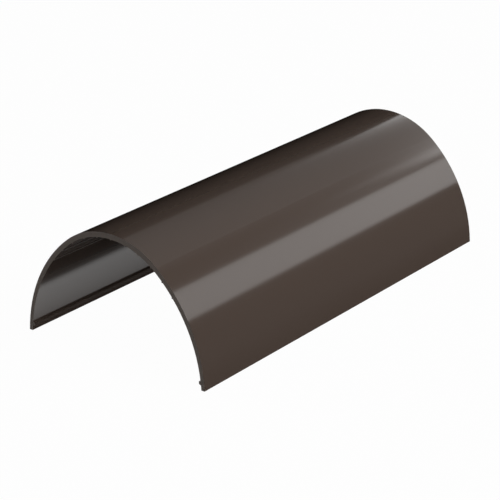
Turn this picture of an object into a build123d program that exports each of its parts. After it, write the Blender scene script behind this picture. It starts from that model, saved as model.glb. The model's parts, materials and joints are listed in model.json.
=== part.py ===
"""Short section of an extruded uPVC half-round gutter, lying open side down on its two rims.

The section runs along X, centred on the origin, and stands on Z = 0. Its profile is an arch of
three tangent arcs, a tight one over the gutter's bottom and a flatter one down each flank. The wall
thickens towards the bottom. Inside it has a row of fine ribs, and a bead along each rim.
"""

import math
import os

from build123d import *

# Driving dimensions, in millimetres.
section_length = 258.6
overall_width = 125.0  # outside to outside, at the rims
overall_depth = 72.3  # from the rim plane to the outside of the gutter's bottom
bottom_radius = 49.8  # outside radius over the gutter's bottom
flank_radius = 84.2  # outside radius of each flank
flank_wall = 2.3
bottom_wall = 3.05

rib_count = 11
rib_pitch = 9.75  # along the inside surface
rib_radius = 0.5

bead_rise = 4.2  # from the rim plane to the middle of the bead
bead_base = 2.9
bead_tip = 1.5
bead_height = 1.2  # how far the bead stands out of the wall
bead_corner = 0.25

rim_outer_corner = 0.2
rim_inner_corner = 0.2

bottom_centre = Vector(0, overall_depth - bottom_radius)
rim_point = Vector(overall_width / 2, 0)


def flank_centre():
    """Centre of the right flank's arc, which ends on the rim point and is tangent to the bottom arc."""
    span = rim_point - bottom_centre
    to_bottom = flank_radius - bottom_radius
    along = (to_bottom**2 - flank_radius**2 + span.length**2) / (2 * span.length)
    aside = math.sqrt(to_bottom**2 - along**2)
    unit = span.normalized()
    return bottom_centre + unit * along + Vector(unit.Y, -unit.X) * aside


def arch(inset, drop, foot):
    """The profile's outside curve moved inwards by inset and down by drop, from foot height to foot height."""
    down = Vector(0, -drop)
    flank = flank_centre() + down
    bottom = bottom_centre + down
    flank_r = flank_radius - inset
    toe = math.degrees(math.asin((foot - flank.Y) / flank_r))
    joint = math.degrees(math.atan2(bottom.Y - flank.Y, bottom.X - flank.X))
    right = CenterArc((flank.X, flank.Y), flank_r, toe, joint - toe)
    crown = CenterArc((bottom.X, bottom.Y), bottom_radius - inset, joint, 180 - 2 * joint)
    left = CenterArc((-flank.X, flank.Y), flank_r, 180 - joint, joint - toe)
    return Wire([right, crown, left])


def under(curve):
    """The face between a curve and the level line that joins its two ends."""
    return make_face([*curve.edges(), Line(curve @ 1, curve @ 0)])


def bead(side, curve_centre, curve_radius):
    """The bead along one rim, on the inside of the right (1) or left (-1) flank."""
    lean = math.asin((bead_rise - curve_centre.Y) / curve_radius)
    seat = curve_centre + Vector(math.cos(lean), math.sin(lean)) * curve_radius
    root = flank_wall / 2
    outline = Polyline(
        (root, -bead_base / 2),
        (0, -bead_base / 2),
        (-bead_height, -bead_tip / 2),
        (-bead_height, bead_tip / 2),
        (0, bead_base / 2),
        (root, bead_base / 2),
        close=True,
    )
    section = make_face(outline)
    section = fillet(section.vertices().group_by(Axis.X)[0], bead_corner)
    placed = Pos(seat.X, seat.Y) * Rot(0, 0, math.degrees(lean)) * section
    return placed if side > 0 else mirror(placed, Plane.YZ)


def profile():
    """The gutter's section, drawn with X across and Y up."""
    drop = bottom_wall - flank_wall
    inside = arch(flank_wall, drop, -drop)
    section = under(arch(0, 0, 0)) - under(inside)
    middle = inside.length / 2
    for index in range(rib_count):
        along = middle + (index - (rib_count - 1) / 2) * rib_pitch
        place = inside.position_at(along, position_mode=PositionMode.LENGTH)
        section += Pos(place.X, place.Y) * Circle(rib_radius)
    inside_centre = flank_centre() - Vector(0, drop)
    for side in (1, -1):
        section += bead(side, inside_centre, flank_radius - flank_wall)
    rim = section.vertices().group_by(Axis.Y)[0].sort_by(Axis.X)
    section = fillet([rim[0], rim[-1]], rim_outer_corner)
    rim = section.vertices().group_by(Axis.Y)[0].sort_by(Axis.X)
    return fillet([rim[1], rim[-2]], rim_inner_corner)


def gutter():
    """The whole section of stock, one extruded solid."""
    return extrude(Plane.YZ * profile(), amount=section_length / 2, both=True)


os.makedirs("parts", exist_ok=True)
export_step(gutter(), "parts/gutter.step")
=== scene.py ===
"""Looks for the gutter section: brown uPVC in a plain white studio.

Everything is in metres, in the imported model's own frame: the section runs along X and lies on its two
rims at Z = 0. The camera stands on the -X, -Y side and sees the near cut end. The plastic mirrors long
glowing panels parallel to the gutter, one overhead and one beyond the far end. Softboxes and two fill
panels add diffuse light.
"""

import json
import math

import bpy
from mathutils import Euler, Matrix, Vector

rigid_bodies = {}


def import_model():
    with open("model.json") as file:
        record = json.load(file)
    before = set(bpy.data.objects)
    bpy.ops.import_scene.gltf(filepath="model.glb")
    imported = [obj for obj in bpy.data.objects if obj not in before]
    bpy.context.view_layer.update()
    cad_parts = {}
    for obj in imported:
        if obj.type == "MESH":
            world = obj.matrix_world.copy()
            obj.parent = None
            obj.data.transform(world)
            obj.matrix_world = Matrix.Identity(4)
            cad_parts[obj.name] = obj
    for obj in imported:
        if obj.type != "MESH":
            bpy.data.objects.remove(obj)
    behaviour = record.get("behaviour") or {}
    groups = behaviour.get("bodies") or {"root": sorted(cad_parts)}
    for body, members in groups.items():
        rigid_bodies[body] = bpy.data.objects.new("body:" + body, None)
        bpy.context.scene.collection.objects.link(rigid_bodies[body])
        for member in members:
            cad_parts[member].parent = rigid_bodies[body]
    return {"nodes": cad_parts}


# Camera, matched to the photograph.
CAMERA_PLACE = (-0.79249, -0.60926, 0.43615)
CAMERA_ANGLES = (67.4391, 0.0592, -52.0794)  # degrees
CAMERA_LENS = 134.13
SENSOR = 36.0

# Plastic, in linear colour.
BODY_COLOUR = (0.0750, 0.0552, 0.0450)
BODY_MOTTLE = 0.04  # how far the colour wanders, as a share of it
BODY_ROUGHNESS = 0.12
BODY_ROUGHNESS_SPREAD = 0.008
CUT_COLOUR = (0.1600, 0.1360, 0.1210)
CUT_MOTTLE = 0.05
CUT_ROUGHNESS = 0.45
PLASTIC_IOR = 1.5
END_NORMAL = 0.7  # a face whose normal has more X than this is a sawn end

# Relief of the plastic. The saw's blade leaves arcs round a centre beside the section.
DIE_LINE_HEIGHT = 0.0000006
SAW_MARK_HEIGHT = 0.00001
BLADE_CENTRE = (0.10, -0.12)  # in Y and Z
BLADE_WAVES = 7000.0  # radians of the wave per metre of radius
BLADE_WANDER = 6.0
BLADE_SHARE = 0.15  # weight of the arcs beside the grain

# Long panels. Their spans are angles round the X axis, from -Y upwards, in degrees.
SIDE_FILL = (-16.0, 23.3)
SIDE_STRIP = (23.3, 47.3)
SIDE_HALO = (47.3, 68.0)
LOW_STRIP = (-98.0, -50.5)
LOW_FILL = (-79.0, -50.5)
RIM_FILL = (-16.0, -1.5)
BACK_STRIP = (136.0, 160.0)
BACK_STRIP_SHIFT = -4.5  # along X, out of what the main view mirrors
REACH = 4.0
HALF_LENGTH = 6.0

# Radiance of the long panels. RUN is a span of X, FADE a span of angles, and a pair of levels is what
# the radiance, or a factor of it, has at the two ends of such a span.
SIDE_FILL_RUN = (3.2, 6.0)
SIDE_FILL_LEVELS = (0.018, 0.060)
SIDE_STRIP_RUN = (4.4, 5.5)
SIDE_STRIP_LEVELS = (2.07, 2.28)
HALO_FADE = (58.0, 63.6)
HALO_SLOPE = 0.128  # per metre of X
HALO_OFFSET = -0.445
HALO_LEAST = 0.035
LOW_STRIP_RUN = (3.1, 4.1)
LOW_STRIP_LEVELS = (1.04, 0.86)
LOW_STRIP_FOOT_FADE = (-84.2, -76.6)
LOW_STRIP_BODY_FADE = (-75.0, -60.0)
LOW_STRIP_BODY_LEVELS = (0.97, 1.04)
LOW_STRIP_SPILL_FADE = (-98.0, -82.0)
LOW_STRIP_SPILL_LEVELS = (0.0, 0.06)
LOW_FILL_LEVEL = 0.50
RIM_FILL_LEVEL = 1.0
BACK_STRIP_LEVEL = 1.1

# The overhead panel, at the height of REACH. All spans are in Y.
TOP_SIDES = (-2.15, 3.45)
TOP_NEAR_EDGE = (-2.08, -1.62)
TOP_BODY = (0.0, 3.3)
TOP_BODY_LEVELS = (0.345, 0.226)
TOP_FAR_EDGE = (3.05, 3.40)

# The panel beyond the far end. Its soft sides and its gradient are slopes seen from the gutter.
FAR_PLACE = 5.0
FAR_HALF_WIDTH = 3.0
FAR_HEIGHTS = (1.6, 5.0)
FAR_PEAK = 4.0
FAR_LEVEL = 0.230
FAR_LEVEL_SLOPE = 0.75  # where the gradient has that level
FAR_FADE = 0.0457
FAR_BOW = 0.20
FAR_RIGHT_SIDE = (0.428, 0.474)
FAR_LEFT_SIDE = (-0.463, -0.426)

# Square softboxes: place, side and radiance.
KEY = ((0.3, -2.34, 2.69), 1.8, 6.6)
END_FILL = ((-4.0, 0.9, -1.7), 1.5, 6.0)
BACK_FILL = ((0.3, 3.26, -2.28), 1.8, 10.0)

# White surroundings.
BACKDROP_LEVEL = 0.98
FLOOR_HALF = 12.0
FLOOR_PAINT = 0.01


def clear():
    """Takes away what Blender starts with."""
    for thing in list(bpy.data.objects):
        bpy.data.objects.remove(thing)


def round_x(angle, distance):
    """The point at that angle round the X axis, from -Y upwards, and at that distance from it."""
    turn = math.radians(angle)
    return Vector((0.0, -math.cos(turn) * distance, math.sin(turn) * distance))


def grey(level):
    """A grey of that level, with its alpha."""
    return (level, level, level, 1.0)


def softbox(name, place, side, radiance):
    """A square light of even radiance that faces the origin."""
    lamp = bpy.data.lights.new(name, "AREA")
    lamp.shape = "RECTANGLE"
    lamp.size = lamp.size_y = side
    lamp.energy = radiance * math.pi * side * side
    thing = bpy.data.objects.new(name, lamp)
    bpy.context.scene.collection.objects.link(thing)
    thing.location = place
    thing.rotation_euler = (-thing.location).to_track_quat("-Z", "Y").to_euler()
    thing.visible_camera = False
    return thing


def put(tree, value, socket):
    """Links the value to the socket if it is a socket too, and sets it there otherwise."""
    if isinstance(value, bpy.types.NodeSocket):
        tree.links.new(value, socket)
    else:
        socket.default_value = value


def calc(tree, kind, *inputs):
    """A Math node of that kind, fed with sockets or numbers; returns its output."""
    node = tree.nodes.new("ShaderNodeMath")
    node.operation = kind
    for socket, value in zip(node.inputs, inputs):
        put(tree, value, socket)
    return node.outputs[0]


def ease(tree, value, span, levels=(0.0, 1.0)):
    """Runs smoothly from the first level to the second as the value crosses the span."""
    node = tree.nodes.new("ShaderNodeMapRange")
    node.interpolation_type = "SMOOTHSTEP"
    tree.links.new(value, node.inputs["Value"])
    node.inputs["From Min"].default_value, node.inputs["From Max"].default_value = span
    node.inputs["To Min"].default_value, node.inputs["To Max"].default_value = levels
    return node.outputs["Result"]


def ease_round(tree, y, z, span, levels=(0.0, 1.0)):
    """Eases by the angle of Y, Z round the X axis, from -Y upwards, with its span in degrees."""
    angle = calc(tree, "ARCTAN2", z, calc(tree, "MULTIPLY", y, -1.0))
    return ease(tree, angle, [math.radians(end) for end in span], levels)


def glow(name, corners, strength):
    """A glowing panel that light crosses freely. Its strength is a number, or a function of X, Y, Z."""
    mesh = bpy.data.meshes.new(name)
    mesh.from_pydata(corners, [], [tuple(range(len(corners)))])
    panel = bpy.data.objects.new(name, mesh)
    bpy.context.scene.collection.objects.link(panel)
    material = bpy.data.materials.new(name)
    material.use_nodes = True
    tree = material.node_tree
    tree.nodes.clear()
    output = tree.nodes.new("ShaderNodeOutputMaterial")
    add = tree.nodes.new("ShaderNodeAddShader")
    light = tree.nodes.new("ShaderNodeEmission")
    through = tree.nodes.new("ShaderNodeBsdfTransparent")
    place = tree.nodes.new("ShaderNodeTexCoord")
    parts = tree.nodes.new("ShaderNodeSeparateXYZ")
    tree.links.new(place.outputs["Object"], parts.inputs[0])
    level = strength(tree, *parts.outputs) if callable(strength) else strength
    put(tree, level, light.inputs["Strength"])
    tree.links.new(light.outputs[0], add.inputs[0])
    tree.links.new(through.outputs[0], add.inputs[1])
    tree.links.new(add.outputs[0], output.inputs["Surface"])
    mesh.materials.append(material)
    panel.visible_camera = False
    panel.visible_shadow = False
    return panel


def facing(name, span, strength):
    """A long glowing panel parallel to the gutter that fills the span of angles round the X axis."""
    away = REACH / math.cos(math.radians(span[1] - span[0]) / 2)
    low, high = (round_x(angle, away) for angle in span)
    along = Vector((HALF_LENGTH, 0.0, 0.0))
    return glow(name, [low - along, low + along, high + along, high - along], strength)


def side_fill_strength(tree, x, y, z):
    """The dim studio wall below the side strip."""
    return ease(tree, x, SIDE_FILL_RUN, SIDE_FILL_LEVELS)


def side_strip_strength(tree, x, y, z):
    """The side strip, a little brighter towards the far end."""
    return ease(tree, x, SIDE_STRIP_RUN, SIDE_STRIP_LEVELS)


def side_halo_strength(tree, x, y, z):
    """Spill above the side strip, which grows towards the far end and fades upwards."""
    fade = ease_round(tree, y, z, HALO_FADE, (1.0, 0.0))
    spill = calc(tree, "MAXIMUM", calc(tree, "MULTIPLY_ADD", x, HALO_SLOPE, HALO_OFFSET), HALO_LEAST)
    return calc(tree, "MULTIPLY", spill, fade)


def low_strip_strength(tree, x, y, z):
    """The low strip that the channel's inside mirrors: dimmer towards the far end, soft along its foot."""
    along = ease(tree, x, LOW_STRIP_RUN, LOW_STRIP_LEVELS)
    foot = ease_round(tree, y, z, LOW_STRIP_FOOT_FADE)
    body = ease_round(tree, y, z, LOW_STRIP_BODY_FADE, LOW_STRIP_BODY_LEVELS)
    spill = ease_round(tree, y, z, LOW_STRIP_SPILL_FADE, LOW_STRIP_SPILL_LEVELS)
    return calc(tree, "MULTIPLY", along, calc(tree, "MULTIPLY_ADD", foot, body, spill))


def top_strength(tree, x, y, z):
    """The overhead panel, with soft edges, which dims towards +Y."""
    body = ease(tree, y, TOP_BODY, TOP_BODY_LEVELS)
    near_edge = ease(tree, y, TOP_NEAR_EDGE)
    far_edge = ease(tree, y, TOP_FAR_EDGE, (1.0, 0.0))
    return calc(tree, "MULTIPLY", calc(tree, "MULTIPLY", body, near_edge), far_edge)


def far_strength(tree, x, y, z):
    """Bright below, fading upwards and outwards like a softbox's graded cloth, with soft sides."""
    across = calc(tree, "DIVIDE", y, FAR_PLACE)
    up = calc(tree, "DIVIDE", z, FAR_PLACE)
    bow = calc(tree, "MULTIPLY", calc(tree, "MULTIPLY", across, across), FAR_BOW)
    height = calc(tree, "ADD", up, bow)
    steps = calc(tree, "DIVIDE", calc(tree, "SUBTRACT", FAR_LEVEL_SLOPE, height), FAR_FADE)
    fade = calc(tree, "EXPONENT", steps)
    level = calc(tree, "MINIMUM", calc(tree, "MULTIPLY", fade, FAR_LEVEL), FAR_PEAK)
    right = ease(tree, across, FAR_RIGHT_SIDE, (1.0, 0.0))
    left = ease(tree, across, FAR_LEFT_SIDE)
    return calc(tree, "MULTIPLY", calc(tree, "MULTIPLY", level, right), left)


def plastic_material():
    """Extruded uPVC: glossy, with faint lengthwise die lines; its sawn ends are paler and duller."""
    material = bpy.data.materials.new("brown_upvc")
    material.use_nodes = True
    tree = material.node_tree
    shader = tree.nodes["Principled BSDF"]
    shader.inputs["IOR"].default_value = PLASTIC_IOR

    place = tree.nodes.new("ShaderNodeTexCoord")
    parts = tree.nodes.new("ShaderNodeSeparateXYZ")
    tree.links.new(place.outputs["Object"], parts.inputs[0])

    geometry = tree.nodes.new("ShaderNodeNewGeometry")
    normal = tree.nodes.new("ShaderNodeSeparateXYZ")
    tree.links.new(geometry.outputs["True Normal"], normal.inputs[0])
    cut = calc(tree, "GREATER_THAN", calc(tree, "ABSOLUTE", normal.outputs[0]), END_NORMAL)

    def noise(scale, stretch=1.0, detail=2.0):
        """Noise whose grain is stretched along X by that factor."""
        mapping = tree.nodes.new("ShaderNodeMapping")
        mapping.inputs["Scale"].default_value = (1.0 / stretch, 1.0, 1.0)
        tree.links.new(place.outputs["Object"], mapping.inputs["Vector"])
        node = tree.nodes.new("ShaderNodeTexNoise")
        node.inputs["Scale"].default_value = scale
        node.inputs["Detail"].default_value = detail
        tree.links.new(mapping.outputs[0], node.inputs["Vector"])
        return node.outputs[0]

    def mix_colours(factor, first, second):
        """A mix of two colours or sockets."""
        node = tree.nodes.new("ShaderNodeMix")
        node.data_type = "RGBA"
        tree.links.new(factor, node.inputs["Factor"])
        put(tree, first, node.inputs[6])
        put(tree, second, node.inputs[7])
        return node.outputs[2]

    def mottle(factor, colour, spread):
        """That colour, from darker to lighter by the spread as the factor goes from 0 to 1."""
        dark = (*(channel * (1 - spread) for channel in colour), 1.0)
        light = (*(channel * (1 + spread) for channel in colour), 1.0)
        return mix_colours(factor, dark, light)

    def skin_or_cut(skin_value, cut_value):
        """The first value on the skin and the second on the sawn ends."""
        node = tree.nodes.new("ShaderNodeMix")
        tree.links.new(cut, node.inputs[0])
        put(tree, skin_value, node.inputs[2])
        put(tree, cut_value, node.inputs[3])
        return node.outputs[0]

    # Extruded skin
    die_lines = noise(scale=1500.0, stretch=400.0)
    flow = noise(scale=35.0, stretch=12.0)
    skin = mottle(flow, BODY_COLOUR, BODY_MOTTLE)
    roughest = BODY_ROUGHNESS + BODY_ROUGHNESS_SPREAD
    smoothest = BODY_ROUGHNESS - BODY_ROUGHNESS_SPREAD
    skin_rough = ease(tree, die_lines, (0.3, 0.7), (smoothest, roughest))

    # Sawn ends: fine grain and the blade's shallow arcs
    grain = noise(scale=1400.0, detail=4.0)
    across = calc(tree, "SUBTRACT", parts.outputs[1], BLADE_CENTRE[0])
    up = calc(tree, "SUBTRACT", parts.outputs[2], BLADE_CENTRE[1])
    squares = calc(tree, "ADD", calc(tree, "MULTIPLY", across, across), calc(tree, "MULTIPLY", up, up))
    radius = calc(tree, "SQRT", squares)
    wander = calc(tree, "MULTIPLY", noise(scale=60.0), BLADE_WANDER)
    arcs = calc(tree, "SINE", calc(tree, "ADD", calc(tree, "MULTIPLY", radius, BLADE_WAVES), wander))
    saw = calc(tree, "ADD", calc(tree, "MULTIPLY", arcs, BLADE_SHARE), grain)
    sawn = mottle(ease(tree, saw, (0.2, 0.8)), CUT_COLOUR, CUT_MOTTLE)

    tree.links.new(mix_colours(cut, skin, sawn), shader.inputs["Base Color"])
    tree.links.new(skin_or_cut(skin_rough, CUT_ROUGHNESS), shader.inputs["Roughness"])

    skin_height = calc(tree, "MULTIPLY", die_lines, DIE_LINE_HEIGHT)
    cut_height = calc(tree, "MULTIPLY", saw, SAW_MARK_HEIGHT)
    bump = tree.nodes.new("ShaderNodeBump")
    bump.inputs["Strength"].default_value = 1.0
    bump.inputs["Distance"].default_value = 1.0
    tree.links.new(skin_or_cut(skin_height, cut_height), bump.inputs["Height"])
    tree.links.new(bump.outputs[0], shader.inputs["Normal"])
    return material


clear()
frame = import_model()
bpy.context.view_layer.update()

gutter = frame["nodes"]["gutter"]

scene = bpy.context.scene
scene.view_settings.view_transform = "Standard"
scene.view_settings.look = "None"

# White background, seen by the camera alone
world = bpy.data.worlds.new("studio")
scene.world = world
world.use_nodes = True
world.node_tree.nodes["Background"].inputs["Color"].default_value = grey(BACKDROP_LEVEL)
world.cycles_visibility.diffuse = False
world.cycles_visibility.glossy = False
world.cycles_visibility.transmission = False
world.cycles_visibility.scatter = False

# Camera
lens = bpy.data.cameras.new("camera")
lens.lens = CAMERA_LENS
lens.sensor_width = SENSOR
lens.sensor_fit = "HORIZONTAL"
lens.clip_end = 200.0
camera = bpy.data.objects.new("camera", lens)
scene.collection.objects.link(camera)
camera.location = CAMERA_PLACE
camera.rotation_euler = Euler([math.radians(angle) for angle in CAMERA_ANGLES])
scene.camera = camera

# Plastic
gutter.data.materials[0] = plastic_material()

# Lights
facing("side_fill", SIDE_FILL, side_fill_strength)
facing("side_strip", SIDE_STRIP, side_strip_strength)
facing("side_halo", SIDE_HALO, side_halo_strength)
low_strip = facing("low_strip", LOW_STRIP, low_strip_strength)
low_fill = facing("low_fill", LOW_FILL, LOW_FILL_LEVEL)
rim_fill = facing("rim_fill", RIM_FILL, RIM_FILL_LEVEL)
softbox("key", *KEY)
end_fill = softbox("end_fill", *END_FILL)
back_fill = softbox("back_fill", *BACK_FILL)
back_strip = facing("back_strip", BACK_STRIP, BACK_STRIP_LEVEL)
back_strip.location.x = BACK_STRIP_SHIFT
top_panel = glow(
    "top_panel",
    [
        (-HALF_LENGTH, TOP_SIDES[0], REACH),
        (-HALF_LENGTH, TOP_SIDES[1], REACH),
        (HALF_LENGTH, TOP_SIDES[1], REACH),
        (HALF_LENGTH, TOP_SIDES[0], REACH),
    ],
    top_strength,
)
far_panel = glow(
    "far_panel",
    [
        (FAR_PLACE, -FAR_HALF_WIDTH, FAR_HEIGHTS[0]),
        (FAR_PLACE, -FAR_HALF_WIDTH, FAR_HEIGHTS[1]),
        (FAR_PLACE, FAR_HALF_WIDTH, FAR_HEIGHTS[1]),
        (FAR_PLACE, FAR_HALF_WIDTH, FAR_HEIGHTS[0]),
    ],
    far_strength,
)

# Some lights show only in the gloss, and some are kept out of it
for light in (low_strip, back_strip, top_panel, far_panel):
    light.visible_diffuse = False
for light in (low_fill, rim_fill, end_fill, back_fill):
    light.visible_glossy = False

# The back strip is found by mirrored rays alone, so it adds no noise where it isn't mirrored
back_strip.data.materials[0].cycles.emission_sampling = "NONE"

# Floor, which glows as white as the background
floor_mesh = bpy.data.meshes.new("floor")
floor_mesh.from_pydata(
    [
        (-FLOOR_HALF, -FLOOR_HALF, 0.0),
        (FLOOR_HALF, -FLOOR_HALF, 0.0),
        (FLOOR_HALF, FLOOR_HALF, 0.0),
        (-FLOOR_HALF, FLOOR_HALF, 0.0),
    ],
    [],
    [(0, 1, 2, 3)],
)
floor = bpy.data.objects.new("floor", floor_mesh)
scene.collection.objects.link(floor)
white = bpy.data.materials.new("floor_white")
white.use_nodes = True
white_shader = white.node_tree.nodes["Principled BSDF"]
white_shader.inputs["Base Color"].default_value = grey(FLOOR_PAINT)
white_shader.inputs["Roughness"].default_value = 1.0
white_shader.inputs["Specular IOR Level"].default_value = 0.0
white_shader.inputs["Emission Color"].default_value = grey(1.0)
white_shader.inputs["Emission Strength"].default_value = BACKDROP_LEVEL
floor_mesh.materials.append(white)
floor.visible_glossy = False
floor.visible_diffuse = False
floor.visible_shadow = False
